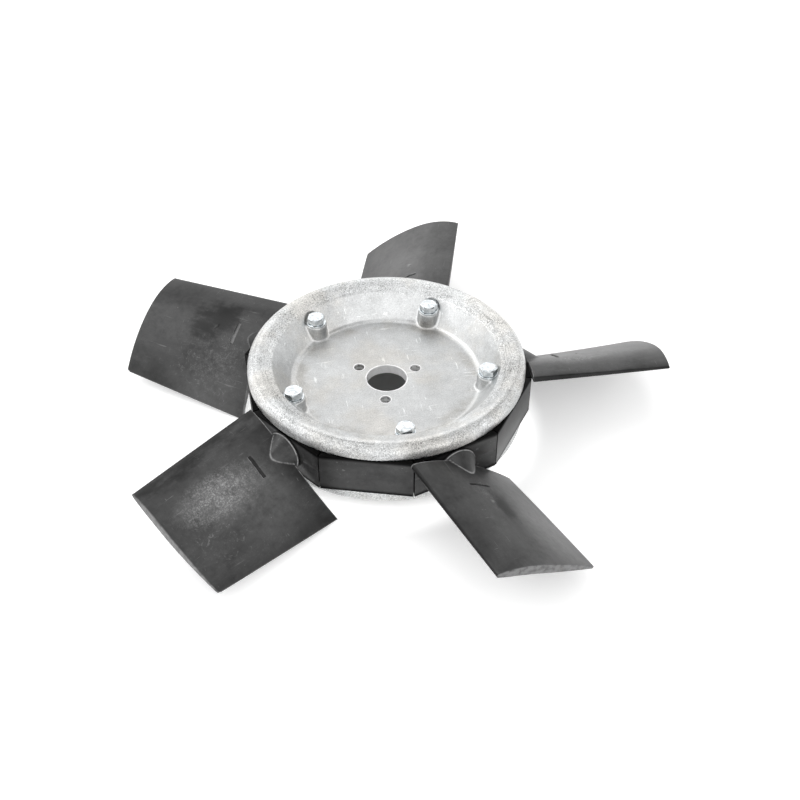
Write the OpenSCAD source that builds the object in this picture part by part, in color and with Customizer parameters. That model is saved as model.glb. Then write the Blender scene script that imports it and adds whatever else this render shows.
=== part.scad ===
// Axial fan wheel: two dished hub plates bolted together around a ring of ten plastic segments.
// Five of the ten positions hold a blade, on a round stem that sets its pitch, and five are blanked.
// +Z is the wheel's axis, towards the bolt heads. The origin is the bore's centre, where the plates meet.

/* [Hub plates] */
// Diameter over the rolled rim
hub_d = 218; // [216:0.5:218]
// Height of each plate above the joint between the plates
plate_h = 28.5; // [27:0.5:30]
// Diameter of the flat floor
floor_d = 150; // [146:1:152]
// Thickness of the floor
floor_t = 4; // [3:0.5:5]
// Thickness of the sloping wall and of the rim
wall_t = 4; // [3:0.5:4.5]
// Diameter where the sloping wall turns into the rim
rim_edge_d = 179; // [178:1:182]
// Height of that turn above the joint
rim_edge_h = 24.4; // [23:0.2:25]
// Radius of the rolled outer edge of the rim
lip_r = 7.5; // [7:0.5:8]
// How far the bevel between floor and wall runs along each of them
floor_bevel = 1.6; // [0.6:0.2:2]

/* [Shaft mount] */
// Diameter of the centre bore
bore_d = 32; // [28:1:34]
// Diameter of the three drive bolt holes
drive_hole_d = 8.4; // [6.6:0.1:9]
// Pitch circle of the drive bolt holes
drive_pcd = 52; // [48:1:58]
// Number of drive bolt holes
drive_count = 3; // [3:1:4]

/* [Clamp bolts] */
// Pitch circle of the clamp bolts
clamp_pcd = 160; // [158:0.5:161]
// Nominal diameter of the clamp bolts
bolt_d = 8; // [6:1:8]
// Length of a clamp bolt under its head
bolt_len = 45; // [44:1:46]
// Hexagon size across flats, for heads and nuts
hex_af = 13; // [10:1:13]
// Height of a bolt head
head_h = 5.3; // [4:0.1:5.5]
// Height of a nut
nut_h = 6.5; // [5:0.1:6.8]
// Outside diameter of a washer
washer_d = 16; // [12:0.5:16]
// Thickness of a washer
washer_t = 1.6; // [1:0.1:1.8]
// Diameter of the clearance hole for a clamp bolt
clamp_hole_d = 9; // [8.6:0.1:9.4]
// Diameter of the lug that carries a bolt head
lug_d = 17.2; // [16.5:0.1:18]
// Height of the lug's top above the joint
lug_h = 16.8; // [16:0.1:17.5]
// Diameter of the pocket cut in the wall behind a bolt head
pocket_d = 18.4; // [17.6:0.1:19]

/* [Segments] */
// Distance from the axis to the flat outer face of a segment
facet_r = 108.6; // [107.5:0.1:108.6]
// Height of the ring of segments
ring_h = 32.8; // [32:0.2:33]
// Gap between neighbouring segments
segment_gap = 1; // [0.6:0.1:1.4]
// Radius of the inner end of a segment
segment_inner_r = 82; // [81:0.5:84]
// Clearance between a segment and the plates' sloping walls
wall_gap = 0.1; // [0.1:0.05:0.3]

/* [Blade stem] */
// Diameter of the stem that turns in the segment
stem_d = 20; // [18:0.5:22]
// Radial clearance of the stem in its bore
stem_fit = 0.05; // [0.02:0.01:0.09]
// Diameter of the collar that holds the blade in
collar_d = 28; // [26:0.5:28]
// Distance from the axis to the collar's inner face
collar_x = 91; // [90.5:0.5:92]
// Thickness of the collar
collar_t = 6; // [4:0.5:7]
// Clearance around the collar
collar_gap = 0.4; // [0.3:0.05:0.5]
// Diameter of the flange outside the segment's face
flange_d = 31; // [30:0.5:32]
// Distance from the axis to the flange's outer face
flange_x = 110.8; // [110.2:0.1:112]
// Gap between the flange and the segment's face
flange_gap = 0.4; // [0.3:0.1:0.6]
// Distance from the axis to the tip of the cone that blends the flange into the blade
cone_tip_x = 133; // [128:1:136]

/* [Blade] */
// Number of blades
blade_count = 5; // [5:1:5]
// Distance from the axis to the line between the root corners
root_x = 107.6; // [107.4:0.1:109]
// Distance from the axis to the line between the tip corners
tip_x = 220.6; // [190:0.1:240]
// How far the root edge bows outwards
root_bow = 5.2; // [4.8:0.1:5.4]
// How far the tip edge bows outwards
tip_bow = 3.6; // [0:0.1:6]
// How much further out the root's leading corner is than its trailing corner
root_skew = 3.2; // [3:0.1:3.6]
// How much further out the tip's leading corner is than its trailing corner
tip_skew = 2.6; // [0:0.1:4]
// Chord from the stem's axis to the leading edge, at the root
root_lead = 40.9; // [38:0.1:42]
// Chord from the stem's axis to the leading edge, at the tip
tip_lead = 37; // [34:0.1:40]
// Chord from the stem's axis to the trailing edge, at the root
root_trail = 64.6; // [60:0.1:66]
// Chord from the stem's axis to the trailing edge, at the tip
tip_trail = 57.1; // [50:0.1:62]
// Pitch angle at the root
root_pitch = 33.5; // [30:0.1:36]
// Pitch angle at the tip
tip_pitch = 25.4; // [22:0.1:30]
// How far the chord line lies below the stem's axis
chord_drop = 6; // [5:0.1:7]
// Camber at the root, as a part of the chord
root_camber = 0.072; // [0.05:0.001:0.08]
// Camber at the tip, as a part of the chord
tip_camber = 0.066; // [0.04:0.001:0.08]
// Thickness at the root, as a part of the chord
root_thick = 0.070; // [0.06:0.001:0.09]
// Thickness at the tip, as a part of the chord
tip_thick = 0.072; // [0.05:0.001:0.09]
// How far the blunt nose reaches down at the root
root_nose = 2.8; // [0:0.1:3]
// How far the blunt nose reaches down at the tip
tip_nose = 0.7; // [0:0.1:2]
// Part of the chord over which the nose rounds off
nose_part = 0.02; // [0.01:0.005:0.05]
// Place of the greatest camber, as a part of the chord
camber_place = 0.37; // [0.3:0.01:0.5]
// Thickness of the trailing edge
trail_t = 1.6; // [1.2:0.1:2.4]

/* [Hidden] */

$fn = 96;
eps = 0.01;
far = 200;

blade_step = 360 / blade_count;
segment_half = blade_step / 4;
clamp_angle = -segment_half;
drive_angle = segment_half;

// The wall's underside is parallel to its sloping face.
slope = atan2(rim_edge_h - floor_t, (rim_edge_d - floor_d) / 2);
wall_down = wall_t * [sin(slope), -cos(slope)];
floor_edge = [floor_d / 2, floor_t];
rim_edge = [rim_edge_d / 2, rim_edge_h];
foot_r = floor_edge[0] + wall_down[0] - (floor_edge[1] + wall_down[1]) / tan(slope);

// The rim is a strip of even thickness, tangent to the rolled edge.
lip_centre = [hub_d / 2 - lip_r, plate_h - lip_r];
edge_to_lip = lip_centre - rim_edge;
tangent_a = 180 - atan2(-edge_to_lip[1], edge_to_lip[0]) - acos(lip_r / norm(edge_to_lip));
tangent_dir = [cos(tangent_a), sin(tangent_a)];
rim_tangent = lip_centre + lip_r * tangent_dir;
rim_under = lip_centre + (lip_r - wall_t) * tangent_dir;
rim_dir = [sin(tangent_a), -cos(tangent_a)];

// The underside of the rim meets the underside of the wall at this point.
under_run = ((rim_under[0] - foot_r) * sin(slope) - rim_under[1] * cos(slope))
    / (rim_dir[0] * sin(slope) - rim_dir[1] * cos(slope));
under_corner = rim_under - under_run * rim_dir;

// The underside of the wall reaches the height of the lip's edge at this point.
lip_level = [foot_r + ring_h / 2 / tan(slope), ring_h / 2];

// Backing of a bolt pocket, inside the hub
backing_r = pocket_d / 2 + 3;
backing_gap = 0.4;

stem_r = stem_d / 2;
collar_r = collar_d / 2;
flange_r = flange_d / 2;
block_floor = facet_r + flange_gap;
side_gap = segment_gap / 2 / cos(segment_half);

// Points around the blade: stations along the chord, and sections from root to tip
chord_steps = 18;
span_steps = 6;

alloy = [0.80, 0.81, 0.82];
black_plastic = [0.16, 0.16, 0.17];
zinc = [0.88, 0.89, 0.91];

// ---------- hub plates ----------

// Half section of a plate: floor, bevel, sloping wall, rim strip, rolled edge and lip.
module plate_section() {
    difference() {
        union() {
            polygon([
                [bore_d / 2, 0], [foot_r, 0], lip_level, [hub_d / 2, ring_h / 2],
                [hub_d / 2, lip_centre[1]], lip_centre, rim_tangent, rim_edge,
                floor_edge + floor_bevel * [cos(slope), sin(slope)],
                floor_edge - [floor_bevel, 0], [bore_d / 2, floor_t]
            ]);
            translate(lip_centre) circle(r = lip_r);
        }
        rim_hollow();
    }
}

// The hollow under the rim, between the sloping wall and the lip, and all that is below the lip.
module rim_hollow() {
    below = lip_centre[1] - lip_r - 1;
    polygon([
        lip_level, under_corner, rim_under, lip_centre, [hub_d / 2 - wall_t, lip_centre[1]],
        [hub_d / 2 - wall_t, ring_h / 2], [hub_d / 2 + 1, ring_h / 2], [hub_d / 2 + 1, below],
        [lip_level[0], below]
    ]);
    translate(lip_centre) circle(r = lip_r - wall_t);
}

// The space under the wall and the rim, up to the middle of their thickness.
module under_wall() {
    rotate_extrude() polygon([
        [foot_r - wall_t / 2 / sin(slope), 0], (rim_edge + under_corner) / 2,
        (rim_tangent + rim_under) / 2, [rim_under[0], 0]
    ]);
}

// Puts a child at each clamp bolt.
module at_clamps() {
    for (k = [0 : blade_count - 1])
        rotate([0, 0, clamp_angle + k * blade_step]) translate([clamp_pcd / 2, 0, 0]) children();
}

module plate() {
    difference() {
        union() {
            rotate_extrude() plate_section();
            at_clamps() cylinder(h = lug_h + 1, d = lug_d);
            intersection() {
                at_clamps() cylinder(h = plate_h, r = backing_r);
                under_wall();
            }
        }
        at_clamps() {
            translate([0, 0, lug_h]) cylinder(h = plate_h, d = pocket_d);
            translate([0, 0, -1]) cylinder(h = plate_h, d = clamp_hole_d);
        }
        for (k = [0 : drive_count - 1])
            rotate([0, 0, drive_angle + k * 360 / drive_count])
                translate([drive_pcd / 2, 0, -1]) cylinder(h = floor_t + 2, d = drive_hole_d);
    }
}

module upper_hub_plate() {
    color(alloy) plate();
}

module lower_hub_plate() {
    color(alloy) mirror([0, 0, 1]) plate();
}

// ---------- ring of segments ----------

// Plan of one segment, with its flat outer face towards +X.
module segment_plan() {
    inner_x = segment_inner_r - 4;
    polygon([
        [inner_x, -inner_x * tan(segment_half) + side_gap],
        [facet_r, -facet_r * tan(segment_half) + side_gap],
        [facet_r, facet_r * tan(segment_half) - side_gap],
        [inner_x, inner_x * tan(segment_half) - side_gap]
    ]);
}

// Space between the plates' walls, from the joint upwards.
module wedge_upper() {
    start_z = (segment_inner_r - foot_r - wall_gap) * tan(slope);
    full_r = foot_r + wall_gap + ring_h / 2 / tan(slope);
    rotate_extrude() polygon([
        [segment_inner_r, 0], [far, 0], [far, ring_h / 2], [full_r, ring_h / 2],
        [segment_inner_r, start_z]
    ]);
}

// Upper half of a segment. The corner at side = -1 or 1 makes room for a clamp bolt's lug.
module half_segment(side) {
    difference() {
        intersection() {
            linear_extrude(height = ring_h / 2) segment_plan();
            wedge_upper();
        }
        rotate([0, 0, side * segment_half]) translate([clamp_pcd / 2, 0, -1])
            cylinder(h = ring_h, r = backing_r + backing_gap);
    }
}

// Room for a blade's stem and collar.
module stem_room() {
    rotate([0, 90, 0]) {
        cylinder(h = far, r = stem_r + stem_fit);
        translate([0, 0, collar_x - collar_gap])
            cylinder(h = collar_t + 2 * collar_gap, r = collar_r + collar_gap);
    }
}

module block_half() {
    difference() {
        half_segment(-1);
        intersection() {
            stem_room();
            translate([collar_x - collar_gap, -far, -far]) cube(2 * far);
        }
    }
}

module root_block_upper(k) {
    color(black_plastic) rotate([0, 0, (k - 1) * blade_step]) block_half();
}

// The lower half is the upper one mirrored in the joint.
module root_block_lower(k) {
    color(black_plastic) rotate([0, 0, (k - 1) * blade_step]) mirror([0, 0, 1]) block_half();
}

module blank_segment(k) {
    color(black_plastic) rotate([0, 0, (k - 1) * blade_step + 2 * segment_half]) {
        half_segment(1);
        mirror([0, 0, 1]) half_segment(1);
    }
}

// ---------- blades ----------

// Four-digit aerofoil: height of the mean line and half thickness at a part c of a unit chord.
function mean_line(c, m, p) = c < p
    ? m / (p * p) * (2 * p * c - c * c)
    : m / ((1 - p) * (1 - p)) * (1 - 2 * p + 2 * p * c - c * c);
function half_thick(c, t) = 5 * t
    * (0.2969 * sqrt(c) - 0.126 * c - 0.3516 * c * c + 0.2843 * pow(c, 3) - 0.1015 * pow(c, 4));

// The blunt nose hangs below the section, by less and less towards the trailing edge.
function nose(c) = (c < nose_part ? sqrt(1 - pow(1 - c / nose_part, 2)) : 1) * (1 - c);

// Stations along the chord, closer together at its ends
function chord_part(i) = (1 - cos(180 * i / chord_steps)) / 2;

// A point on the surface at part c of the chord and part u of the span; side is 1 above, -1 below.
function mix(a, b, u) = a + (b - a) * u;
function blade_point(c, u, side) = let(
    lead = mix(root_lead, tip_lead, u),
    chord = lead + mix(root_trail, tip_trail, u),
    pitch = mix(root_pitch, tip_pitch, u),
    lift = mean_line(c, mix(root_camber, tip_camber, u), camber_place) * chord,
    half = half_thick(c, mix(root_thick, tip_thick, u)) * chord + c * trail_t / 2,
    s = c * chord - lead,
    blunt = side < 0 ? mix(root_nose, tip_nose, u) * nose(c) : 0,
    n = lift + side * half - blunt - chord_drop,
    bow = 4 * c * (1 - c),
    x_root = root_x + root_bow * bow - root_skew * (c - 0.5),
    x_tip = tip_x + tip_bow * bow - tip_skew * (c - 0.5)
) [mix(x_root, x_tip, u), s * cos(pitch) + n * sin(pitch), n * cos(pitch) - s * sin(pitch)];

// One section is a loop: the nose, the upper side to the trailing edge, and back underneath.
function blade_loop(u) = concat(
    [for (i = [0 : chord_steps]) blade_point(chord_part(i), u, 1)],
    [for (i = [chord_steps : -1 : 1]) blade_point(chord_part(i), u, -1)]
);

module blade_skin() {
    loop = 2 * chord_steps + 1;
    last = span_steps * loop;
    points = [for (j = [0 : span_steps]) each blade_loop(j / span_steps)];
    sides = [for (j = [0 : span_steps - 1], i = [0 : loop - 1]) each
        let(a = j * loop + i, b = j * loop + (i + 1) % loop) [[a, b, b + loop], [a, b + loop, a + loop]]
    ];
    // The end faces join each upper point to the lower point under it.
    ends = [for (i = [1 : chord_steps - 1]) each
        let(a = i, b = i + 1, c = loop - i - 1, d = loop - i)
        [[a, c, b], [a, d, c], [last + a, last + b, last + c], [last + a, last + c, last + d]]
    ];
    noses = [[0, loop - 1, 1], [last, last + 1, last + loop - 1]];
    polyhedron(points = points, faces = concat(sides, ends, noses), convexity = 4);
}

module stem() {
    rotate([0, 90, 0]) {
        translate([0, 0, collar_x]) cylinder(h = collar_t, r = collar_r);
        translate([0, 0, collar_x]) cylinder(h = flange_x - collar_x - 1, r = stem_r);
        translate([0, 0, block_floor]) cylinder(h = flange_x - block_floor, r = flange_r);
        translate([0, 0, flange_x]) cylinder(h = cone_tip_x - flange_x, r1 = flange_r, r2 = 0);
    }
}

module blade(k) {
    color(black_plastic) rotate([0, 0, (k - 1) * blade_step]) {
        blade_skin();
        stem();
    }
}

// ---------- fasteners ----------

// Hexagon with its corners chamfered at 30 degrees, on the top and if wanted below.
module hexagon(h, both) {
    corner_r = hex_af / 2 / cos(30);
    drop = (corner_r - hex_af / 2) * tan(30);
    intersection() {
        cylinder(h = h, r = corner_r, $fn = 6);
        rotate_extrude() polygon([
            [0, 0], [both ? hex_af / 2 : corner_r + eps, 0], [corner_r + eps, both ? drop : 0],
            [corner_r + eps, h - drop], [hex_af / 2, h], [0, h]
        ]);
    }
}

module clamp_bolts() {
    point = 1;
    color(zinc) at_clamps() translate([0, 0, lug_h + washer_t]) {
        hexagon(head_h, false);
        translate([0, 0, point - bolt_len]) cylinder(h = bolt_len, d = bolt_d);
        translate([0, 0, -bolt_len]) cylinder(h = point, d1 = bolt_d - 2 * point, d2 = bolt_d);
    }
}

module washer() {
    difference() {
        cylinder(h = washer_t, d = washer_d);
        translate([0, 0, -1]) cylinder(h = washer_t + 2, d = bolt_d + 0.4);
    }
}

module head_washers() {
    color(zinc) at_clamps() translate([0, 0, lug_h]) washer();
}

module nut_washers() {
    color(zinc) at_clamps() translate([0, 0, -lug_h - washer_t]) washer();
}

module clamp_nuts() {
    color(zinc) at_clamps() translate([0, 0, -lug_h - washer_t - nut_h]) difference() {
        hexagon(nut_h, true);
        translate([0, 0, -1]) cylinder(h = nut_h + 2, d = bolt_d + 0.1);
    }
}

upper_hub_plate();
lower_hub_plate();
blade(1);  // blade_1
blade(2);  // blade_2
blade(3);  // blade_3
blade(4);  // blade_4
blade(5);  // blade_5
root_block_upper(1);  // root_block_upper_1
root_block_upper(2);  // root_block_upper_2
root_block_upper(3);  // root_block_upper_3
root_block_upper(4);  // root_block_upper_4
root_block_upper(5);  // root_block_upper_5
root_block_lower(1);  // root_block_lower_1
root_block_lower(2);  // root_block_lower_2
root_block_lower(3);  // root_block_lower_3
root_block_lower(4);  // root_block_lower_4
root_block_lower(5);  // root_block_lower_5
blank_segment(1);  // blank_segment_1
blank_segment(2);  // blank_segment_2
blank_segment(3);  // blank_segment_3
blank_segment(4);  // blank_segment_4
blank_segment(5);  // blank_segment_5
clamp_bolts();
head_washers();
nut_washers();
clamp_nuts();
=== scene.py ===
"""Looks of the axial fan wheel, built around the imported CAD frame."""

import math

import bmesh
import bpy
import numpy as np
from mathutils import Matrix, Vector


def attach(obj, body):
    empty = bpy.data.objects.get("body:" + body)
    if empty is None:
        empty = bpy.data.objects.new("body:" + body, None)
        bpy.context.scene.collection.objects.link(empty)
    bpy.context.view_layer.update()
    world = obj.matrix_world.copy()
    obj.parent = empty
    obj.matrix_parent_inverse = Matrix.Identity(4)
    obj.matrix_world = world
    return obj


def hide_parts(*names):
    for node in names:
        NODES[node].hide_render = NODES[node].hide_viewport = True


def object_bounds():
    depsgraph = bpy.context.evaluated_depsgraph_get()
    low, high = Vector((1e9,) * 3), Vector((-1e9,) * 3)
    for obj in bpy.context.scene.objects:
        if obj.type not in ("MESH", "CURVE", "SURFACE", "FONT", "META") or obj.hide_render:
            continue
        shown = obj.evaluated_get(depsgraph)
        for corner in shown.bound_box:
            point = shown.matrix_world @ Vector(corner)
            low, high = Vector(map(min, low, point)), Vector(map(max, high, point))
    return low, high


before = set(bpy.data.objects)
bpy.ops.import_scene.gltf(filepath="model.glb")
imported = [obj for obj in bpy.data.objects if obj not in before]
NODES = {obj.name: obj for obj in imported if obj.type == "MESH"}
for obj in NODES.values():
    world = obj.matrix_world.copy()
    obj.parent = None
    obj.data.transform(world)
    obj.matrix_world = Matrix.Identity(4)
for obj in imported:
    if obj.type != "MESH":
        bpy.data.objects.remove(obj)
CAD_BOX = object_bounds()
MM = 0.001

# Layout of the wheel, in millimetres and degrees.
BLADES = 5
STEP = 72.0
CLAMP_R, CLAMP_START = 80.0, -18.0
LUG_R, LUG_TOP = 8.6, 16.8
BORE_R = 16.0
DRIVE_R, DRIVE_START, DRIVE_HOLE_R, DRIVE_HOLES = 26.0, 18.0, 4.2, 3
PLATE_FLOOR = 4.0


# ---------------------------------------------------------------- small helpers


def smooth_step(lo, hi, v):
    t = np.clip((v - lo) / (hi - lo), 0.0, 1.0)
    return t * t * (3 - 2 * t)


def smooth_max(a, b, k):
    return np.maximum(a, b) + np.maximum(k - np.abs(a - b), 0.0) ** 2 / (4 * k)


def bell(v, width):
    """1 at 0, falling away over the width on both sides."""
    return np.exp(-((v / width) ** 2))


def new_object(name, verts, faces, sharp):
    """A mesh object from points in metres, with outward normals, shaded smooth up to sharp degrees."""
    mesh = bpy.data.meshes.new(name)
    mesh.from_pydata([tuple(v) for v in verts], [], faces)
    bm = bmesh.new()
    bm.from_mesh(mesh)
    bmesh.ops.recalc_face_normals(bm, faces=bm.faces)
    bm.to_mesh(mesh)
    bm.free()
    mesh.shade_smooth()
    mesh.set_sharp_from_angle(angle=math.radians(sharp))
    ob = bpy.data.objects.new(name, mesh)
    bpy.context.scene.collection.objects.link(ob)
    return ob


def lathe(profile, sides, start):
    """Points and faces of a body turned about X, from (along, radius) pairs that begin and end on it."""
    verts, faces, rings = [], [], []
    for along, r in profile:
        if r <= 0:
            rings.append([start + len(verts)])
            verts.append((along, 0.0, 0.0))
            continue
        rings.append([start + len(verts) + k for k in range(sides)])
        for k in range(sides):
            t = 2 * math.pi * k / sides
            verts.append((along, r * math.cos(t), r * math.sin(t)))
    for p, q in zip(rings, rings[1:]):
        for k in range(sides):
            n = (k + 1) % sides
            if len(p) == 1:
                faces.append((p[0], q[k], q[n]))
            elif len(q) == 1:
                faces.append((p[k], q[0], p[n]))
            else:
                faces.append((p[k], q[k], q[n], p[n]))
    return verts, faces


# ---------------------------------------------------------------- materials


class Tree:
    """Short names for building a node tree. Places and sizes in it are in metres."""

    def __init__(self, node_tree):
        self.nt = node_tree

    def new(self, kind):
        return self.nt.nodes.new("ShaderNode" + kind)

    def link(self, value, socket):
        if isinstance(value, bpy.types.NodeSocket):
            self.nt.links.new(value, socket)
        else:
            socket.default_value = value

    def mapped(self, vector, **inputs):
        n = self.new("Mapping")
        for name, value in inputs.items():
            n.inputs[name].default_value = value
        self.link(vector, n.inputs["Vector"])
        return n.outputs[0]

    def math(self, op, a, b=0.0, c=0.0):
        n = self.new("Math")
        n.operation = op
        for value, socket in zip((a, b, c), n.inputs):
            self.link(value, socket)
        return n.outputs[0]

    def add(self, *terms):
        total = terms[0]
        for term in terms[1:]:
            total = self.math("ADD", total, term)
        return total

    def mul(self, *factors):
        product = factors[0]
        for factor in factors[1:]:
            product = self.math("MULTIPLY", product, factor)
        return product

    def largest(self, a, b):
        return self.math("MAXIMUM", a, b)

    def size(self, value):
        return self.math("ABSOLUTE", value)

    def centred(self, noise, amount):
        """A noise as a change to both sides of 0, times amount."""
        return self.mul(self.add(noise, -0.5), amount)

    def ramp(self, value, lo, hi, to_lo=0.0, to_hi=1.0):
        """value from lo..hi carried smoothly to to_lo..to_hi and held there."""
        n = self.new("MapRange")
        n.interpolation_type = "SMOOTHSTEP"
        names = ("Value", "From Min", "From Max", "To Min", "To Max")
        for v, name in zip((value, lo, hi, to_lo, to_hi), names):
            self.link(v, n.inputs[name])
        return n.outputs["Result"]

    def by(self, mask, off, on):
        """off where the mask is 0 and on where it is 1."""
        return self.ramp(mask, 0.0, 1.0, off, on)

    def near(self, value, place, width):
        """1 where value is at place, falling to 0 at width from it."""
        return self.ramp(self.size(self.add(value, -place)), 0.0, width, 1.0, 0.0)

    def mix(self, fac, a, b, blend="MIX"):
        """Colours a and b mixed by fac."""
        n = self.new("Mix")
        n.data_type = "RGBA"
        n.blend_type = blend
        self.link(fac, n.inputs["Factor"])
        for value, socket in ((a, n.inputs[6]), (b, n.inputs[7])):
            self.link(value if isinstance(value, bpy.types.NodeSocket) else (*value, 1.0), socket)
        return n.outputs[2]

    def grey(self, value):
        """A colour of three equal parts."""
        n = self.new("CombineColor")
        for socket in n.inputs:
            self.link(value, socket)
        return n.outputs[0]

    def parts(self, vector):
        n = self.new("SeparateXYZ")
        self.link(vector, n.inputs[0])
        return n.outputs

    def radius(self, x, y, x0=0.0, y0=0.0, rx=1.0, ry=1.0):
        """Distance from (x0, y0), in units of rx along x and ry along y."""
        dx, dy = self.mul(self.add(x, -x0), 1 / rx), self.mul(self.add(y, -y0), 1 / ry)
        return self.math("SQRT", self.add(self.mul(dx, dx), self.mul(dy, dy)))

    def around(self, x, y, r, along, across):
        """Coordinates that follow a turned body: along scales them round the axis, and across along r."""
        n = self.new("CombineXYZ")
        for value, socket in zip((x, y), n.inputs):
            self.link(self.mul(self.math("DIVIDE", value, r), along), socket)
        self.link(self.mul(r, across), n.inputs[2])
        return n.outputs[0]

    def attribute(self, name):
        n = self.new("Attribute")
        n.attribute_name = name
        return n.outputs["Fac"]

    def bump(self, height, distance, strength, normal=None):
        n = self.new("Bump")
        n.inputs["Strength"].default_value = strength
        n.inputs["Distance"].default_value = distance
        self.link(height, n.inputs["Height"])
        if normal is not None:
            self.link(normal, n.inputs["Normal"])
        return n.outputs[0]


class Material(Tree):
    """A material around one principled shader, with patterns that follow the object."""

    SOCKETS = dict(color="Base Color", rough="Roughness", metal="Metallic", normal="Normal", ior="IOR",
                   spec="Specular IOR Level", glow_color="Emission Color", glow="Emission Strength")

    def __init__(self, name, turn=0.0):
        """The patterns are turned about Z by turn radians."""
        self.mat = bpy.data.materials.new(name)
        self.mat.use_nodes = True
        super().__init__(self.mat.node_tree)
        self.nt.nodes.clear()
        self.bsdf = self.new("BsdfPrincipled")
        self.link(self.bsdf.outputs[0], self.new("OutputMaterial").inputs[0])
        self.coords = self.new("TexCoord").outputs["Object"]
        if turn:
            self.coords = self.mapped(self.coords, Rotation=(0.0, 0.0, -turn))

    def set(self, **values):
        for name, value in values.items():
            self.link(value, self.bsdf.inputs[self.SOCKETS[name]])

    def xyz(self):
        return self.parts(self.coords)

    def noise(self, scale, detail, rough, vector=None, distortion=0.0, stretch=(1, 1, 1), shift=(0, 0, 0)):
        n = self.new("TexNoise")
        n.inputs["Scale"].default_value = scale
        n.inputs["Detail"].default_value = detail
        n.inputs["Roughness"].default_value = rough
        n.inputs["Distortion"].default_value = distortion
        v = self.coords if vector is None else vector
        self.link(self.mapped(v, Scale=stretch, Location=shift), n.inputs["Vector"])
        return n.outputs["Fac"]

    def voronoi(self, scale, shift):
        n = self.new("TexVoronoi")
        n.inputs["Scale"].default_value = scale
        self.link(self.mapped(self.coords, Location=shift), n.inputs["Vector"])
        return n.outputs["Distance"]


def from_clamp(t, x, y, r):
    """Distance from the axis of the nearest clamp bolt."""
    half = math.radians(STEP / 2)
    angle = t.math("WRAP", t.add(t.math("ARCTAN2", y, x), math.radians(-CLAMP_START)), half, -half)
    along, across = t.mul(r, t.math("COSINE", angle)), t.mul(r, t.math("SINE", angle))
    return t.radius(along, across, CLAMP_R * MM)


# Zones of a hub plate, from the middle outwards, as radii in metres.
EDGE_RING_R = (0.069, 0.010)
SLOPE_STARTS = (0.0725, 0.0765)
FILLET_R = (0.0738, 0.0030)
RIM_STARTS = (0.0865, 0.0915)
CROWN_R = (0.0955, 0.005)
LIP_STARTS = (0.1000, 0.1045)
LIP_GROOVE_R = (0.1036, 0.0014)


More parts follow.
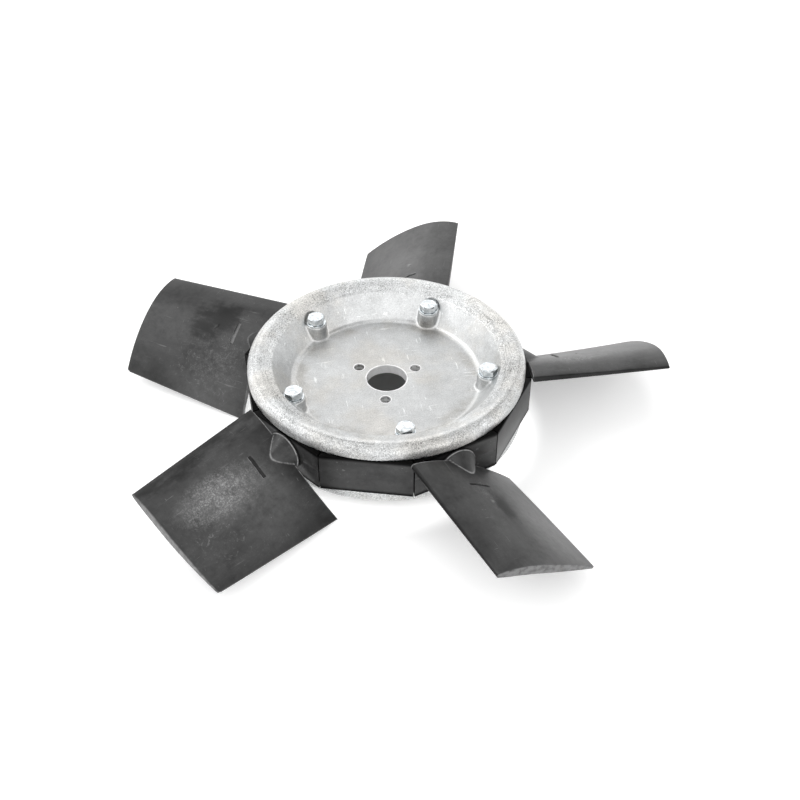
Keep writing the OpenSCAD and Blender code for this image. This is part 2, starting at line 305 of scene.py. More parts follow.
def cast_alloy(name, shift):
    """Blasted die-cast aluminium: coarse and pitted on the rim, smoother and brighter inside it."""
    t = Material(name)
    x, y, z = t.xyz()
    r = t.radius(x, y)
    on_rim = t.ramp(t.add(r, t.centred(t.noise(180.0, 3.0, 0.6, shift=shift), 0.008)), *RIM_STARTS)
    on_slope = t.mul(t.ramp(r, *SLOPE_STARTS), t.ramp(r, *RIM_STARTS, 1.0, 0.0))
    # The ring where the slope meets the floor: it gets a painted highlight and less roughness.
    fillet = t.near(r, *FILLET_R)
    # The front of the crown, where the rim has fewer pits and less grain and is a little lighter.
    lighter_area = t.mul(t.ramp(y, -0.085, -0.050, 1.0, 0.0), t.ramp(r, 0.1010, 0.1040, 1.0, 0.0))
    plain = t.by(lighter_area, 1.0, 0.25)
    clamp = from_clamp(t, x, y, r)
    # Painted shade on each lug's side and a painted highlight on the crease round its foot, up to the lug's
    # top.
    below_head = t.ramp(t.size(z), (LUG_TOP - 0.8) * MM, (LUG_TOP + 0.2) * MM, 1.0, 0.0)
    lug_side_shade = t.mul(t.near(clamp, (LUG_R - 0.2) * MM, 0.0012), below_head)
    crease_highlight = t.mul(t.near(clamp, (LUG_R + 1.5) * MM, 0.0011), below_head)

    cloud = t.noise(34.0, 5.0, 0.6, shift=shift)
    blotch = t.noise(150.0, 5.0, 0.62, shift=shift)
    worms = t.noise(1250.0, 3.0, 0.62, shift=shift, distortion=0.6)
    grain = t.noise(1000.0, 3.0, 0.75, shift=shift)
    rings = t.noise(1.0, 4.0, 0.6, vector=t.around(x, y, r, 5.0, 1500.0))
    scuffs = t.noise(300.0, 2.0, 0.5, stretch=(0.16, 1.6, 1.0), shift=shift)
    cross = t.noise(300.0, 2.0, 0.5, stretch=(1.7, 0.2, 1.0), shift=shift)

    coarse = t.ramp(t.noise(55.0, 4.0, 0.6, shift=(1, 5, 2)), 0.38, 0.60, 0.45, 1.0)
    pits = t.mul(t.ramp(worms, 0.44, 0.51, 1.0, 0.0), coarse)
    pits = t.mul(pits, t.ramp(blotch, 0.36, 0.60, 0.25, 1.0), t.ramp(r, *LIP_STARTS, 1.0, 0.75), plain)
    turned = t.mul(t.ramp(rings, 0.40, 0.47, 1.0, 0.0), t.near(r, *CROWN_R), plain)
    groove = t.mul(t.ramp(rings, 0.40, 0.55, 1.0, 0.2), t.near(r, *LIP_GROOVE_R))
    turned = t.largest(turned, groove)
    glints = t.ramp(t.noise(1000.0, 2.0, 0.5, shift=(3, 1, 2)), 0.60, 0.70)
    hairs = t.largest(t.ramp(scuffs, 0.67, 0.75), t.ramp(cross, 0.66, 0.74))
    hairs = t.mul(hairs, t.ramp(cloud, 0.36, 0.54))
    # A darker, warmer, patchy ring on the floor by the foot of the slope.
    edge_ring = t.mul(t.near(r, *EDGE_RING_R), t.ramp(t.noise(48.0, 4.0, 0.6, shift=(2, 7, 1)), 0.42, 0.62))

    tone = t.add(
        0.540,
        t.centred(cloud, t.by(on_rim, 0.22, 0.40)),
        t.centred(blotch, t.by(on_rim, 0.30, 0.55)),
        t.centred(grain, t.by(t.mul(on_rim, plain), 0.60, 1.25)),
        # Painted light: the slope is lighter towards the front.
        t.mul(on_slope, t.add(t.ramp(y, -0.07, 0.07, 0.16, 0.06), t.centred(cloud, 0.25))),
        # Painted highlights on the fillet and the lug creases, and painted shade on the lugs' sides.
        t.add(t.mul(fillet, 0.10), t.add(t.mul(crease_highlight, 0.14), t.mul(lug_side_shade, -0.13))),
        t.mul(lighter_area, 0.04),
        # Painted light: the rim is darker at the front and lighter at the back.
        t.mul(on_rim, t.ramp(y, -0.10, 0.09, -0.05, 0.10)),
        t.mul(on_rim, t.add(0.14, t.mul(pits, -0.45))),
        t.mul(turned, -0.16),
        t.mul(pits, t.add(1.0, t.mul(on_rim, -1.0)), -0.035),
        t.mul(glints, t.by(on_rim, 0.03, 0.20)),
        t.mul(hairs, t.by(on_rim, 0.22, 0.0)),
        t.mul(edge_ring, -0.10),
    )
    tone = t.math("MINIMUM", t.largest(tone, 0.12), 0.95)
    warm = t.ramp(t.noise(20.0, 4.0, 0.6, shift=(5, 2, 1)), 0.44, 0.64)
    tint = t.mix(t.largest(warm, edge_ring), (0.985, 0.998, 1.0), (1.0, 0.985, 0.95))
    color = t.mix(1.0, t.grey(tone), tint, "MULTIPLY")

    rough = t.add(
        0.44,
        t.centred(blotch, 0.24),
        t.mul(on_rim, t.add(-0.04, t.mul(pits, 0.20))),
        t.mul(on_slope, -0.05),
        t.mul(fillet, -0.08),
    )
    relief = t.add(t.mul(grain, t.by(on_rim, 0.40, 0.9)), t.mul(pits, on_rim, -0.9), t.mul(turned, -0.7))
    waves = t.bump(t.noise(60.0, 2.0, 0.5, shift=shift), 0.0012, 0.30)
    t.set(color=color, rough=rough, metal=1.0, normal=t.bump(relief, 0.00030, 0.8, waves))
    return t.mat


def machined_alloy(name):
    """Bored and drilled aluminium: bright, with fine turning marks round the holes."""
    t = Material(name)
    _, y, z = t.xyz()
    lines = t.noise(1.0, 3.0, 0.6, vector=t.around(z, y, 1.0, 5200.0, 0.0))
    tone = t.add(0.80, t.add(t.centred(lines, 0.30), t.centred(t.noise(160.0, 4.0, 0.6), 0.30)))
    rough = t.add(0.24, t.mul(lines, 0.10))
    t.set(color=t.grey(tone), rough=rough, metal=0.35, normal=t.bump(lines, 0.00004, 0.6))
    return t.mat


def zinc_steel(name, shift):
    """Bright zinc plating with a faint blue cast, fine scratches and duller spots."""
    t = Material(name)
    fine = t.noise(900.0, 3.0, 0.6, shift=shift)
    dull = t.noise(330.0, 4.0, 0.65, shift=shift)
    lines = t.noise(700.0, 2.0, 0.5, stretch=(1.0, 6.0, 1.0), shift=shift)
    worn = t.ramp(t.noise(430.0, 3.0, 0.6, shift=(4, 4, 1)), 0.62, 0.72)
    color = t.mix(t.ramp(dull, 0.35, 0.7), (0.50, 0.53, 0.55), (0.84, 0.87, 0.88))
    color = t.mix(t.mul(worn, 0.7), color, (0.26, 0.27, 0.27))
    rough = t.add(0.12, t.add(t.mul(dull, 0.14), t.mul(lines, 0.08)))
    relief = t.add(t.mul(fine, 0.6), t.add(t.mul(lines, 0.5), t.mul(worn, -0.5)))
    t.set(color=color, rough=rough, metal=1.0, normal=t.bump(relief, 0.00003, 0.6))
    return t.mat


def chalky(t, x, y, patch, streaks, chalk):
    """How chalky the skin is inside the ellipse of patch, whose fifth number is the most it may be."""
    inside = t.ramp(t.radius(x, y, *patch[:4]), 0.15, 1.15, 1.0, 0.0)
    inside = t.mul(inside, t.ramp(streaks, 0.80, 1.15, 0.25, 1.0))
    return t.mul(inside, t.add(0.28, t.ramp(chalk, 0.46, 0.62)), patch[4])


def scribbled(t, x, y, ellipse, shift, mottle):
    """Curly scratches inside the ellipse."""
    curls = t.noise(95.0, 2.0, 0.5, shift=shift, distortion=1.2)
    lines = t.ramp(t.size(t.add(curls, -0.5)), 0.004, 0.016, 1.0, 0.0)
    return t.mul(lines, t.ramp(mottle, 0.42, 0.58), t.ramp(t.radius(x, y, *ellipse), 0.4, 1.1, 1.0, 0.0))


def black_plastic(name, shift, base, haze, dust, turn=0.0, patch=None, scribble=None, dark=(), sheen=(),
                  moulded=False, mark=0.5, worn=1.0, nose=0.4, shade_under_lips=False):
    """Satin black plastic, scuffed and dusty. patch is a chalky area, scribble an area of curly scratches,
    dark holds darker areas and sheen areas of painted sheen. Each area is an ellipse (x, y, rx, ry) in the
    blade's
    own frame, and a fifth number in patch and sheen says how pale it is. moulded reads the blade's point
    values:
    mark, worn and nose are how light its sunk mark, its pale edge lines and its nose are. A mark or nose
    below 1 is painted shade and a mark above 1 a painted highlight; the edge lines are worn edges and painted
    glints.
    The last argument paints shade on what lies under the plates' lips."""
    t = Material(name, turn)
    x, y, z = t.xyz()
    cloud = t.noise(24.0, 5.0, 0.6, shift=shift)
    smear = t.noise(70.0, 5.0, 0.6, stretch=(0.6, 1.5, 1.5), shift=shift)
    mottle = t.noise(230.0, 4.0, 0.65, shift=shift)
    grain = t.noise(1400.0, 3.0, 0.6, shift=shift)
    chalk = t.noise(820.0, 4.0, 0.7, shift=shift, distortion=0.5)
    scratches = t.noise(330.0, 2.0, 0.5, stretch=(0.10, 2.0, 1.0), shift=shift)
    cross = t.noise(360.0, 2.0, 0.5, stretch=(2.0, 0.16, 1.0), shift=shift)

    field = t.mul(t.ramp(t.add(t.mul(smear, 0.6), t.mul(cloud, 0.4)), 0.42, 0.66), dust)
    speck = t.ramp(chalk, 0.50, 0.66)
    dusty = t.mul(field, t.add(0.45, t.mul(speck, 0.55)))
    if patch:
        dusty = t.largest(dusty, chalky(t, x, y, patch, t.add(mottle, smear), chalk))
    dots = t.mul(t.ramp(t.voronoi(150.0, shift), 0.030, 0.065, 1.0, 0.0), t.ramp(smear, 0.50, 0.60))
    marks = t.largest(t.ramp(scratches, 0.68, 0.73), t.ramp(cross, 0.69, 0.74))
    marks = t.mul(marks, t.ramp(cloud, 0.42, 0.58))
    pale = t.largest(t.mul(dusty, 0.60), t.largest(t.mul(dots, 0.45), t.mul(marks, 0.28)))
    if scribble:
        pale = t.largest(pale, t.mul(scribbled(t, x, y, scribble, shift, mottle), 0.30))
    shade = t.add(1.0, t.add(t.centred(cloud, 1.6), t.centred(mottle, 0.8)))
    shade = t.largest(shade, 0.25)
    haze_and_sheen = haze
    if moulded:
        haze_and_sheen = t.mul(t.attribute("hollow"), haze)
        # Pale edge lines in patches: worn edges and painted glints.
        patchy = t.ramp(t.noise(240.0, 3.0, 0.6, shift=shift), 0.30, 0.60, 0.30, 1.0)
        pale = t.largest(pale, t.mul(t.attribute("edge_wear_and_glints"), patchy, 1.9 * worn))
    # Painted sheen: each sheen area adds a soft pale highlight to the haze.
    for area in sheen:
        lighter_area = t.add(t.radius(x, y, *area[:4]), t.centred(smear, 1.3))
        haze_and_sheen = t.add(haze_and_sheen, t.ramp(lighter_area, 0.0, 1.25, area[4], 0.0))
    # Each dark area is darker and carries less of the pale dust and marks.
    for area in dark:
        darkening = t.add(t.radius(x, y, *area), t.mul(t.add(cloud, smear, -1.0), 1.9))
        darkening = t.ramp(darkening, 0.0, 1.7, 0.12, 1.0)
        shade, pale = t.mul(shade, darkening), t.mul(pale, darkening)

    tone = t.add(t.mul(t.add(base, haze_and_sheen), shade), t.mul(pale, 0.24))
    rough = t.add(0.38, t.add(t.centred(cloud, 0.20), t.mul(pale, 0.40)))
    spec = t.ramp(shade, 0.3, 1.1, 0.26, 0.50)
    # Painted shade in the sunk mark and on the nose; a mark above 1 gives the sunk mark a painted highlight
    # instead.
    if moulded:
        darker = t.mul(t.by(t.attribute("sunk_mark"), 1.0, mark), t.ramp(t.attribute("nose"), 0.1, 0.8, 1.0, nose))
        tone, spec = t.mul(tone, darker), t.mul(spec, darker)
    # Painted shade under the plates' lips: from 12.5 mm off the middle plane, tone and spec fall to a tenth
    # by 15.5 mm.
    if shade_under_lips:
        lip_shade = t.ramp(t.size(z), 0.0125, 0.0155, 1.0, 0.10)
        tone, spec = t.mul(tone, lip_shade), t.mul(spec, lip_shade)
    relief = t.add(t.mul(grain, 0.5), t.add(t.mul(speck, t.mul(field, 0.6)), t.mul(marks, -0.5)))
    slow = t.bump(t.noise(34.0, 2.0, 0.5, shift=shift), 0.0016, 0.30)
    t.set(color=t.grey(tone), rough=rough, ior=1.5, spec=spec, normal=t.bump(relief, 0.00009, 0.6, slow))
    return t.mat


# ---------------------------------------------------------------- blades

# A blade lies along X, in millimetres. Pairs are values at its root and at its tip.
ROOT_X, TIP_X, SPAN = 107.6, 220.5, 111.4
ROOT_BOW, TIP_BOW = 5.2, 3.6
ROOT_SKEW, TIP_SKEW = 3.2, 2.6
LEAD, TRAIL = (40.9, 37.0), (64.6, 57.1)
PITCH = (33.5, 25.4)
DROP = 6.0
CAMBER, THICK, NOSE = (0.072, 0.066), (0.070, 0.072), (2.8, 0.7)
NOSE_PART, CAMBER_PLACE, TRAIL_T, TRAIL_ROUND = 0.02, 0.37, 1.6, 0.7
FLANGE_R, FLANGE_X, CONE_TIP = 15.5, 110.8, 133.0
EDGE_R = 0.4
EDGE_STEPS = (0.0, 0.134 * EDGE_R, 0.5 * EDGE_R, EDGE_R)
CORNER_R = 2.2
MARK_X, MARK_S, MARK_HALF_W, MARK_DEPTH = 138.5, (-10.5, 9.0), 1.55, 1.1
GATE_X, GATE_S, GATE_HALF_W, GATE_H = 157.0, -1.1, 0.55, 0.45

# The stem, its collar, the flange and the buried end of the gusset, as (along, radius).
STEM = [
    (91.0, 0), (91.0, 13.5), (91.15, 13.85), (91.5, 14.0), (96.5, 14.0), (96.85, 13.85), (97.0, 13.5),
    (97.0, 10.3), (97.3, 10.0), (108.7, 10.0), (109.0, 10.3), (109.0, 15.0), (109.15, 15.35), (109.5, 15.5),
    (110.2, 15.5), (110.55, 15.48), (110.75, 15.38), (110.95, 15.20),
]
STEM_SIDES = 96

# Parts of the chord, and stretches (from, to, step) along the span, with more points where the details are.
GUSSET_PARTS = (0.20, 0.585)
SPAN_STRETCHES = [
    (0.9, 20.5, 0.5), (21.0, 22.8, 0.6), (23.0, 29.0, 0.26), (30.0, 42.0, 2.0), (42.0, 47.5, 0.45),
    (49.0, 109.5, 3.2), (110.4, 110.5, 1.0),
]


def mixed(pair, u):
    return pair[0] + (pair[1] - pair[0]) * u


def mean_line(c, m):
    p = CAMBER_PLACE
    fore = m / p**2 * (2 * p * c - c * c)
    aft = m / (1 - p) ** 2 * (1 - 2 * p + 2 * p * c - c * c)
    return np.where(c < p, fore, aft)


def half_thick(c, t):
    return 5 * t * (0.2969 * np.sqrt(c) - 0.126 * c - 0.3516 * c**2 + 0.2843 * c**3 - 0.1015 * c**4)


def nose_depth(c):
    inside = np.sqrt(np.maximum(1 - (1 - np.minimum(c / NOSE_PART, 1)) ** 2, 0))
    return inside * (1 - c)


def section(c, u, side):
    """Places x along the span, s along the chord and n across it, at part c of the chord, u of the span."""
    chord = mixed(LEAD, u) + mixed(TRAIL, u)
    s = c * chord - mixed(LEAD, u)
    bow = 4 * c * (1 - c)
    x0 = ROOT_X + ROOT_BOW * bow - ROOT_SKEW * (c - 0.5)
    x1 = TIP_X + TIP_BOW * bow - TIP_SKEW * (c - 0.5)
    gap = (1 - c) * chord
    round_off = CORNER_R - np.sqrt(np.maximum(CORNER_R**2 - np.maximum(CORNER_R - gap, 0) ** 2, 0))
    x = x0 + (x1 - round_off - x0) * u
    lift = mean_line(c, mixed(CAMBER, u)) * chord
    half = half_thick(c, mixed(THICK, u)) * chord + c * TRAIL_T / 2
    n = lift + side * half - DROP
    n = n - np.where(side < 0, mixed(NOSE, u) * nose_depth(c), 0.0)
    return x, s, n


def cone_radius(x):
    return FLANGE_R * (CONE_TIP - x) / (CONE_TIP - FLANGE_X)


def in_mark(x, s):
    """1 inside the mark of the mould's insert, 0 outside it."""
    first, last = MARK_S
    along = smooth_step(first - 0.3, first + 0.5, s) * smooth_step(-last - 0.3, -last + 0.5, -s)
    return along * smooth_step(-MARK_HALF_W - 0.15, -MARK_HALF_W + 0.35, -np.abs(x - MARK_X))


def gate_mark(x, s):
    """1 on the short slanting rib that the mould's gate left, 0 away from it."""
    turn = (x - GATE_X) * 0.5 + (s - GATE_S) * 0.87
    cross = (x - GATE_X) * 0.87 - (s - GATE_S) * 0.5
    return bell(cross, GATE_HALF_W) * smooth_step(-2.8, -1.8, -np.abs(turn))


def with_details(x, s, n, side):
    """Blends the gusset cone into the skin, and puts the two moulding marks on the upper side."""
    cone_r = cone_radius(x)
    inside = np.sqrt(np.maximum(cone_r**2 - s**2, 0.0))
    reach = np.where(np.abs(s) < cone_r, inside, -6.0 * (np.abs(s) - cone_r))
    reach = np.where(cone_r > 0, reach, -50.0)
    n = side * smooth_max(side * n, reach, 1.0)
    n = n - np.where(side > 0, MARK_DEPTH * in_mark(x, s), 0.0)
    return n + np.where(side > 0, GATE_H * gate_mark(x, s), 0.0)


def merged(values, gap):
    """The values in order, without those that lie within the gap of the one before."""
    out = []
    for v in sorted(values):
        if not out or v - out[-1] > gap:
            out.append(v)
    return out


def chord_parts():
    lo, hi = GUSSET_PARTS
    even = [0.5 - 0.5 * math.cos(math.pi * i / 44) for i in range(1, 44)]
    return np.array(merged([c for c in even if not lo < c < hi] + list(np.arange(lo, hi, 0.0052)), 0.0012))


def span_places():
    """Places of the rings of points along the span, and how far each is drawn in, to round the two ends."""
    inner = merged([v for stretch in SPAN_STRETCHES for v in np.arange(*stretch)], 0.2)
    places = [*EDGE_STEPS, *inner, *(SPAN - v for v in EDGE_STEPS[::-1])]
    return zip(places, (*EDGE_STEPS[::-1], *[0.0] * len(inner), *EDGE_STEPS))


def ring_points(c, u, sides, tail, inset):
    """Places x, s and n of one ring. tail is the slice and the angles of its rounded trailing edge."""
    x, s, n = section(c, u, sides)
    round_from = mixed(TRAIL, u) - TRAIL_ROUND
    s = np.minimum(s, round_from)
    part, arc = tail
    s[part] = round_from + TRAIL_ROUND * np.abs(np.cos(arc)) ** 0.7
    n[part] = TRAIL_T / 2 * np.sign(np.sin(arc)) * np.abs(np.sin(arc)) ** 0.7 - DROP
    n = with_details(x, s, n, sides)
    if inset:
        ds, dn = np.roll(s, -1) - np.roll(s, 1), np.roll(n, -1) - np.roll(n, 1)
        size = np.hypot(ds, dn) + 1e-9
        s, n = s - inset * dn / size, n - inset * ds / size
    return x, s, n


def point_values(x, s, c, v, sides):
    """Pale edge lines (wear and painted glints), the sunk mark, the skin's middle and the nose, each from 0
    to 1.
    """
    u, top = v / SPAN, (sides > 0) * 1.0
    cone_r = cone_radius(x)
    clear = smooth_step(0.0, 0.6, np.abs(s) - np.maximum(cone_r, 0.0))
    off = np.sqrt(np.maximum(cone_r**2 - s**2, 0)) - np.abs(section(c, u, sides)[2])
    on_mark = (s > MARK_S[0]) * (s < MARK_S[1])
    # Pale lines along the root, tip and trailing edges, the gusset's seam, the mark's outer edge and the
    # gate: worn edges and painted glints.
    edges = [
        bell(v, 0.5) * clear,
        np.full(len(c), 0.32 * bell(SPAN - v, 0.5)),
        0.60 * bell(off, 0.40) * (cone_r > 1.0) * (np.abs(s) < cone_r + 0.5),
        0.14 * bell(mixed(TRAIL, u) - s, 0.6),
        0.6 * bell(x - MARK_X - MARK_HALF_W, 0.35) * on_mark * top,
        0.4 * bell(np.hypot(x - GATE_X, s - GATE_S), math.sqrt(3.0)) * top,
    ]
    middle = smooth_step(0.02, 0.34, c) * smooth_step(0.0, 0.30, 1 - c) * smooth_step(0, 0.2, u)
    nose = bell(c, np.where(sides > 0, 0.006, 0.040))
    return np.clip(np.maximum.reduce(edges), 0, 1), in_mark(x, s) * top, middle, nose


def stem_mesh(start):
    cone = [(v, cone_radius(v) - 0.01) for v in (111.4, 112.0, 113.0)] + [(114.5, 12.5), (116.0, 0)]
    verts, faces = lathe([(a * MM, r * MM) for a, r in STEM + cone], STEM_SIDES, start)
    return np.array(verts), faces


def blade_mesh(name, angle):
    """The blade turned about Z by the angle: the skin with its two ends, and the stem with the flange."""
    parts = chord_parts()
    arc = np.radians(np.linspace(90, -90, 10)[1:-1])
    tail = slice(1 + len(parts), 1 + len(parts) + len(arc)), arc
    c = np.concatenate([[0.0], parts, np.ones(len(arc)), parts[::-1]])
    sides = np.concatenate([np.ones(1 + len(parts)), np.sign(np.sin(arc)), -np.ones(len(parts))])
    loop = len(c)

    rings, values = [], []
    for v, inset in span_places():
        x, s, n = ring_points(c, v / SPAN, sides, tail, inset)
        p = math.radians(mixed(PITCH, v / SPAN))
        rings.append(np.stack([x, s * math.cos(p) + n * math.sin(p), n * math.cos(p) - s * math.sin(p)], -1))
        values.append(point_values(x, s, c, v, sides))
    verts = np.concatenate(rings) * MM
    faces = []
    for j in range(len(rings) - 1):
        for i in range(loop):
            a, b = j * loop + i, j * loop + (i + 1) % loop
            faces.append((a, b, b + loop, a + loop))
    for base in (0, (len(rings) - 1) * loop):
        faces.append((base, base + 1, base + loop - 1))
        for i in range(1, (loop - 1) // 2):
            faces.append((base + i, base + i + 1, base + loop - i - 1, base + loop - i))

    stem, stem_faces = stem_mesh(len(verts))
    # A painted glint on the flange's rim, kept with the pale edge lines.
    on_rim = bell(stem[:, 0] / MM - 110.75, 0.25) * (stem[:, 0] > 110.3 * MM)
    turn = np.array(Matrix.Rotation(angle, 3, "Z"))
    ob = new_object(name, np.concatenate([verts, stem]) @ turn.T, faces + stem_faces, 50.0)
    none = np.zeros(len(stem))
    on_stem = (0.9 * on_rim, none, none, none)
    for layer_name, skin, rest in zip(("edge_wear_and_glints", "sunk_mark", "hollow", "nose"), zip(*values), on_stem):
        layer = ob.data.attributes.new(layer_name, "FLOAT", "POINT")
        layer.data.foreach_set("value", np.concatenate([*skin, rest]).astype(np.float32))
    return ob


# Looks of the five blades. mark below 1 paints shade in the sunk mark and above 1 a highlight on it; nose
# paints shade on the nose; sheen areas are painted highlights.
BLADE_LOOKS = [
    dict(
        shift=(0.31, 0.12, 0.7), base=0.022, haze=0.025, dust=0.30, mark=0.5, worn=0.5,
        patch=(0.150, -0.012, 0.030, 0.011, 1.1),
        sheen=[(0.155, -0.006, 0.060, 0.016, 0.07)],
    ),
    dict(
        shift=(1.30, 0.52, 0.2), base=0.022, haze=0.025, dust=0.34, mark=0.4, nose=0.9,
        sheen=[(0.165, 0.005, 0.03, 0.03, 0.03)],
    ),
    dict(
        shift=(2.10, 0.92, 0.4), base=0.006, haze=0.006, dust=0.22, mark=2.2, worn=0.5,
        patch=(0.144, 0.025, 0.032, 0.022, 0.35),
        scribble=(0.146, 0.026, 0.045, 0.030),
        dark=[(0.154, -0.006, 0.017, 0.014), (0.166, 0.004, 0.013, 0.011)],
        sheen=[(0.140, 0.045, 0.045, 0.025, 0.04)],
    ),
    dict(
        shift=(3.70, 0.22, 0.9), base=0.010, haze=0.02, dust=0.30, mark=0.4,
        patch=(0.175, 0.003, 0.044, 0.018, 1.3),
        scribble=(0.190, 0.02, 0.03, 0.03),
        dark=[(0.160, -0.036, 0.060, 0.013)],
        sheen=[(0.170, 0.006, 0.05, 0.024, 0.06), (0.15, 0.03, 0.03, 0.02, 0.03)],
    ),
    dict(
        shift=(4.40, 0.72, 0.5), base=0.010, haze=0.014, dust=0.26, mark=0.4,
        patch=(0.145, 0.004, 0.02, 0.014, 0.5),
        dark=[(0.160, 0.008, 0.012, 0.006)],
        sheen=[(0.170, 0.030, 0.055, 0.022, 0.07), (0.158, 0.004, 0.014, 0.010, 0.03)],
    ),
]
for k in range(BLADES):
    angle = math.radians(STEP * k)
    piece = blade_mesh(f"blade_moulding_{k + 1}", angle)
    look = black_plastic(f"blade_plastic_{k + 1}", turn=angle, moulded=True, **BLADE_LOOKS[k])
    piece.data.materials.append(look)
    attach(piece, f"blade_body_{k + 1}")
    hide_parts(f"blade_{k + 1}")


# ---------------------------------------------------------------- hub plates, segments and fasteners


def only_material(ob, mat):
    ob.data.materials.clear()
    ob.data.materials.append(mat)
    for p in ob.data.polygons:
        p.material_index = 0
        p.use_smooth = True


def soften_edges(ob, width):
    weld = ob.modifiers.new("weld", "WELD")
    weld.merge_threshold = 1e-6
    bevel = ob.modifiers.new("edges", "BEVEL")
    bevel.width = width
    bevel.segments = 3
    bevel.limit_method = "ANGLE"
    bevel.angle_limit = math.radians(30.0)
    bevel.harden_normals = True


def cast_rounding(ob, voxel, rounds, keep):
    remesh = ob.modifiers.new("casting", "REMESH")
    remesh.mode = "VOXEL"
    remesh.voxel_size = voxel
    remesh.use_smooth_shade = True
    smooth = ob.modifiers.new("rounding", "SMOOTH")
    smooth.factor = 0.5
    smooth.iterations = rounds
    thin = ob.modifiers.new("thinning", "DECIMATE")
    thin.ratio = keep


for name, shift in (("upper_hub_plate", (0.4, 0.9, 0.1)), ("lower_hub_plate", (1.4, 2.9, 3.1))):
    only_material(NODES[name], cast_alloy(f"{name}_alloy", shift))
    cast_rounding(NODES[name], 0.0008, 3, 0.45)

for k in range(1, BLADES + 1):
    for j, name in enumerate((f"root_block_upper_{k}", f"root_block_lower_{k}", f"blank_segment_{k}")):
        shift = (0.37 * k, 1.3 * j, 0.6 * k + j)
        # The segments get painted shade under the plates' lips.
        look = black_plastic(f"{name}_plastic", shift, base=0.010, haze=0.004, dust=0.20, shade_under_lips=True)
        only_material(NODES[name], look)
        soften_edges(NODES[name], 0.00035)

for j, name in enumerate(("head_washers", "nut_washers", "clamp_nuts")):
    only_material(NODES[name], zinc_steel(f"{name}_zinc", (0.8 * j, 0.3, 0.5)))
    soften_edges(NODES[name], 0.00022 if "washer" in name else 0.0003)


HEX_AF, HEAD_H, BOLT_LEN, UNDER_HEAD = 13.0, 5.3, 45.0, 18.4
HEAD_TURNS = (4.0, -5.0, 8.0, -3.0, 30.0)
CHAMFER_R, CHAMFER_SLOPE = 0.465 * HEX_AF, math.tan(math.radians(28))
SHANK_R, THREAD_FROM, THREAD_PITCH = 4.0, -38.0, 1.25
CORE_R, THREAD_DEPTH, THREAD_STEP = 3.35, 0.62, 0.156
BOLT_SIDES = 120


def hexagon_radius(angles, flats):
    """Distance from the middle of a hexagon to its side, with a corner at angle 0."""
    sixth = math.pi / 3
    return flats / 2 / np.cos(np.mod(angles, sixth) - sixth / 2)


def bolt_rings(turn):
    """Angles, and rings (radius, height) in mm of a bolt from its top down, with 0 under the head."""
    t = np.linspace(0, 2 * math.pi, BOLT_SIDES, endpoint=False)
    one = np.ones_like(t)
    corner_r = HEX_AF / 2 / math.cos(math.pi / 6) - 0.12
    hexa = np.minimum(hexagon_radius(t - turn, HEX_AF), corner_r)
    rings = [(2.0 * one, HEAD_H * one), (4.5 * one, HEAD_H * one), ((CHAMFER_R - 0.2) * one, HEAD_H * one)]
    rings.append(((CHAMFER_R + 0.05) * one, (HEAD_H - 0.05) * one))
    for part in (0.5, 0.93):
        r = CHAMFER_R + part * (hexa - CHAMFER_R)
        rings.append((r, HEAD_H - (r - CHAMFER_R) * CHAMFER_SLOPE - 0.02))
    drop = (hexa - CHAMFER_R) * CHAMFER_SLOPE
    rings += [(hexa, HEAD_H - drop - 0.14), (hexa, 0.62 * one), (hexa - 0.1, 0.45 * one)]
    for r, z in ((6.15, 0.38), (6.1, 0.02), (SHANK_R, 0.02), (SHANK_R, THREAD_FROM)):
        rings.append((r * one, z * one))
    for z in np.arange(THREAD_FROM - 0.4, 1.0 - BOLT_LEN, -THREAD_STEP):
        saw = np.abs(np.mod(z / THREAD_PITCH + t / (2 * math.pi), 1.0) * 2 - 1)
        end = min(1.0, (z + BOLT_LEN) / 1.5)
        rings.append((CORE_R + THREAD_DEPTH * np.clip(saw * 1.4 - 0.2, 0, 1) * end, z * one))
    for r in (3.1, 1.5):
        rings.append((r * one, (0.02 - BOLT_LEN) * one))
    return t, rings


def bolt_mesh(number, start):
    """Points and faces of one clamp bolt, whose points are numbered from start."""
    place = math.radians(CLAMP_START + STEP * number)
    t, rings = bolt_rings(place + math.radians(HEAD_TURNS[number]))
    x0, y0 = CLAMP_R * math.cos(place), CLAMP_R * math.sin(place)
    points = [np.stack([x0 + r * np.cos(t), y0 + r * np.sin(t), z + UNDER_HEAD], -1) for r, z in rings]
    quads = []
    for j in range(len(rings) - 1):
        for i in range(BOLT_SIDES):
            a, b = start + j * BOLT_SIDES + i, start + j * BOLT_SIDES + (i + 1) % BOLT_SIDES
            quads.append((a, b, b + BOLT_SIDES, a + BOLT_SIDES))
    last = start + (len(rings) - 1) * BOLT_SIDES
    ends = [tuple(range(start, start + BOLT_SIDES)), tuple(range(last + BOLT_SIDES - 1, last - 1, -1))]
    return list(np.concatenate(points) * MM), quads + ends


verts, faces = [], []
for k in range(BLADES):
    points, polygons = bolt_mesh(k, len(verts))
    verts += points
    faces += polygons
bolts = new_object("hexagon_bolts", verts, faces, 24.0)
bolts.data.materials.append(zinc_steel("bolt_zinc", (0.2, 0.9, 0.4)))
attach(bolts, "hub")
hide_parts("clamp_bolts")


HOLE_EDGE, HOLE_SIDES = 0.15, 96
HOLE_HALF = PLATE_FLOOR - 0.01


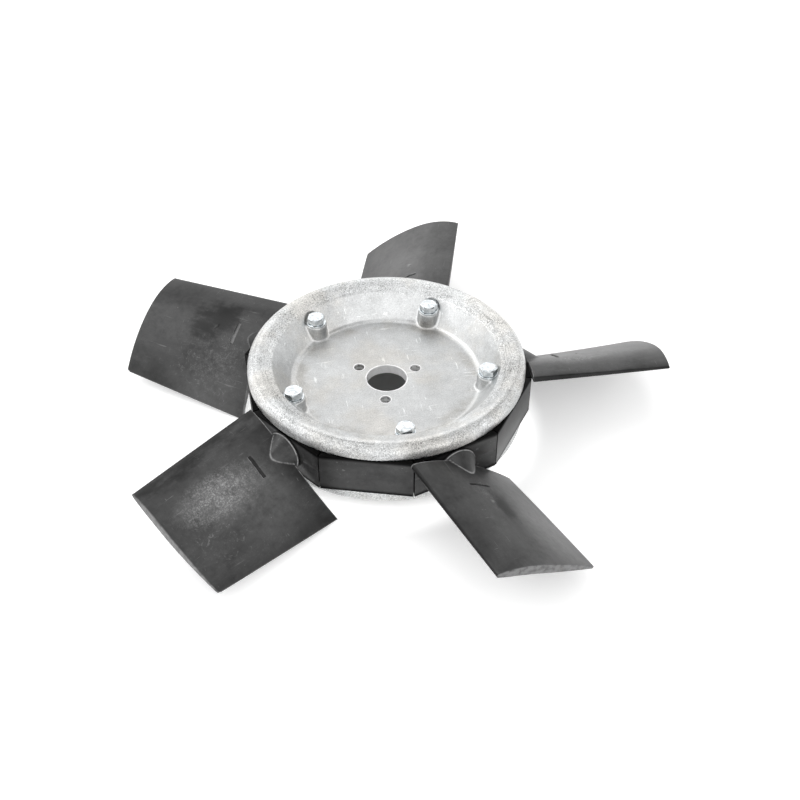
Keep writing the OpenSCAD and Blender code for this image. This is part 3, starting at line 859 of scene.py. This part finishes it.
def liner(inner, outer, x0, y0, start):
    """A ring of metal in the wall of a hole through both floors. Its points are numbered from start."""
    e, h = HOLE_EDGE, HOLE_HALF
    profile = [(-h, inner + e), (-h, outer), (h, outer), (h, inner + e), (h - e, inner), (e - h, inner)]
    t = np.linspace(0, 2 * math.pi, HOLE_SIDES, endpoint=False)
    around = list(zip(np.cos(t), np.sin(t)))
    points = [((x0 + r * c) * MM, (y0 + r * s) * MM, z * MM) for z, r in profile for c, s in around]
    rows = len(profile)
    quads = []
    for j in range(rows):
        for i in range(HOLE_SIDES):
            m, k = (i + 1) % HOLE_SIDES, (j + 1) % rows
            corners = (j * HOLE_SIDES + i, j * HOLE_SIDES + m, k * HOLE_SIDES + m, k * HOLE_SIDES + i)
            quads.append(tuple(start + c for c in corners))
    return points, quads


verts, faces = liner(BORE_R - 0.05, BORE_R + 1.0, 0.0, 0.0, 0)
for k in range(DRIVE_HOLES):
    a = math.radians(DRIVE_START + 360 / DRIVE_HOLES * k)
    x0, y0 = DRIVE_R * math.cos(a), DRIVE_R * math.sin(a)
    points, quads = liner(DRIVE_HOLE_R - 0.05, DRIVE_HOLE_R + 0.7, x0, y0, len(verts))
    verts += points
    faces += quads
holes = new_object("machined_holes", verts, faces, 30.0)
holes.data.materials.append(machined_alloy("machined_alloy"))
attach(holes, "hub")


# ---------------------------------------------------------------- floor, lights and camera

# How strongly the floor glows as painted light that lifts its shadows, and how much more it glows by the hub.
FLOOR_HALF, FLOOR_GLOW, GLOW_BY_HUB = 6.0, 0.30, 0.45
WHITE = (1.0, 1.0, 1.0, 1.0)

low = CAD_BOX[0].z
corners = [(x * FLOOR_HALF, y * FLOOR_HALF, low) for x, y in ((-1, -1), (1, -1), (1, 1), (-1, 1))]
floor_mesh = bpy.data.meshes.new("floor")
floor_mesh.from_pydata(corners, [], [(0, 1, 2, 3)])
floor = bpy.data.objects.new("floor", floor_mesh)
bpy.context.scene.collection.objects.link(floor)
paint = Material("floor_paint")
x, y, _ = paint.xyz()
# Painted shade: under the hub the floor is 0.36 of its colour inside 0.070 m, rising to full by 0.095 m.
outside = paint.ramp(paint.radius(x, y), 0.070, 0.095)
paper = paint.ramp(paint.noise(40.0, 3.0, 0.5), 0.3, 0.7, 0.925, 0.935)
tone = paint.mul(paper, paint.by(outside, 0.36, 1.0))
paint.set(color=paint.grey(tone), rough=0.9, spec=0.1, glow_color=WHITE)
# Painted light: outside the hub the floor glows, and more in a ring round the hub's foot, where its contact
# shadow falls.
by_hub = paint.near(paint.radius(x, y), 0.109, 0.022)
paint.set(glow=paint.mul(outside, paint.add(FLOOR_GLOW, paint.mul(by_hub, GLOW_BY_HUB))))
floor_mesh.materials.append(paint.mat)

# Strength of the sky: at the sides, in the gap overhead that a strip crosses, and more at left and front.
SKY_SIDES, SKY_GAP, SKY_LEFT, SKY_FRONT = 1.20, 0.12, 0.25, 0.35

world = bpy.data.worlds.new("studio")
bpy.context.scene.world = world
world.use_nodes = True
sky = Tree(world.node_tree)
background = sky.nt.nodes["Background"]
background.inputs["Color"].default_value = WHITE
x, y, z = sky.parts(sky.new("TexCoord").outputs["Generated"])
high_up = sky.ramp(z, 0.68, 0.88)
off_strip = sky.ramp(sky.size(x), 0.12, 0.36)
gap = sky.mul(high_up, off_strip, SKY_GAP - SKY_SIDES)
more = sky.add(sky.ramp(x, -1.0, 0.1, SKY_LEFT, 0.0), sky.ramp(y, -1.0, -0.2, SKY_FRONT, 0.0))
sky.link(sky.add(gap, SKY_SIDES, more), background.inputs["Strength"])


def aim(ob, place, direction):
    bpy.context.scene.collection.objects.link(ob)
    ob.location = place
    ob.rotation_mode = "QUATERNION"
    ob.rotation_quaternion = Vector(direction).to_track_quat("-Z", "Y")


def softbox(name, place, width, height, power):
    """A soft rectangular light aimed at the middle of the wheel."""
    data = bpy.data.lights.new(name, "AREA")
    data.shape = "RECTANGLE"
    data.size, data.size_y = width, height
    data.energy = power
    aim(bpy.data.objects.new(name, data), place, -Vector(place))


softbox("back", (-0.1, 1.15, 0.95), 1.4, 0.7, 1.5)
softbox("left", (-0.9, 0.35, 1.1), 0.7, 0.7, 4.5)

lens = bpy.data.cameras.new("camera")
lens.lens = 54.64
lens.sensor_width = 36.0
lens.clip_start, lens.clip_end = 0.05, 20.0
camera = bpy.data.objects.new("camera", lens)
aim(camera, (-0.1259, -0.7303, 0.6211), (0.1392, 0.7437, -0.6538))
bpy.context.scene.camera = camera

settings = bpy.context.scene.view_settings
settings.view_transform = "Standard"
settings.look = "None"
settings.exposure = 0.0
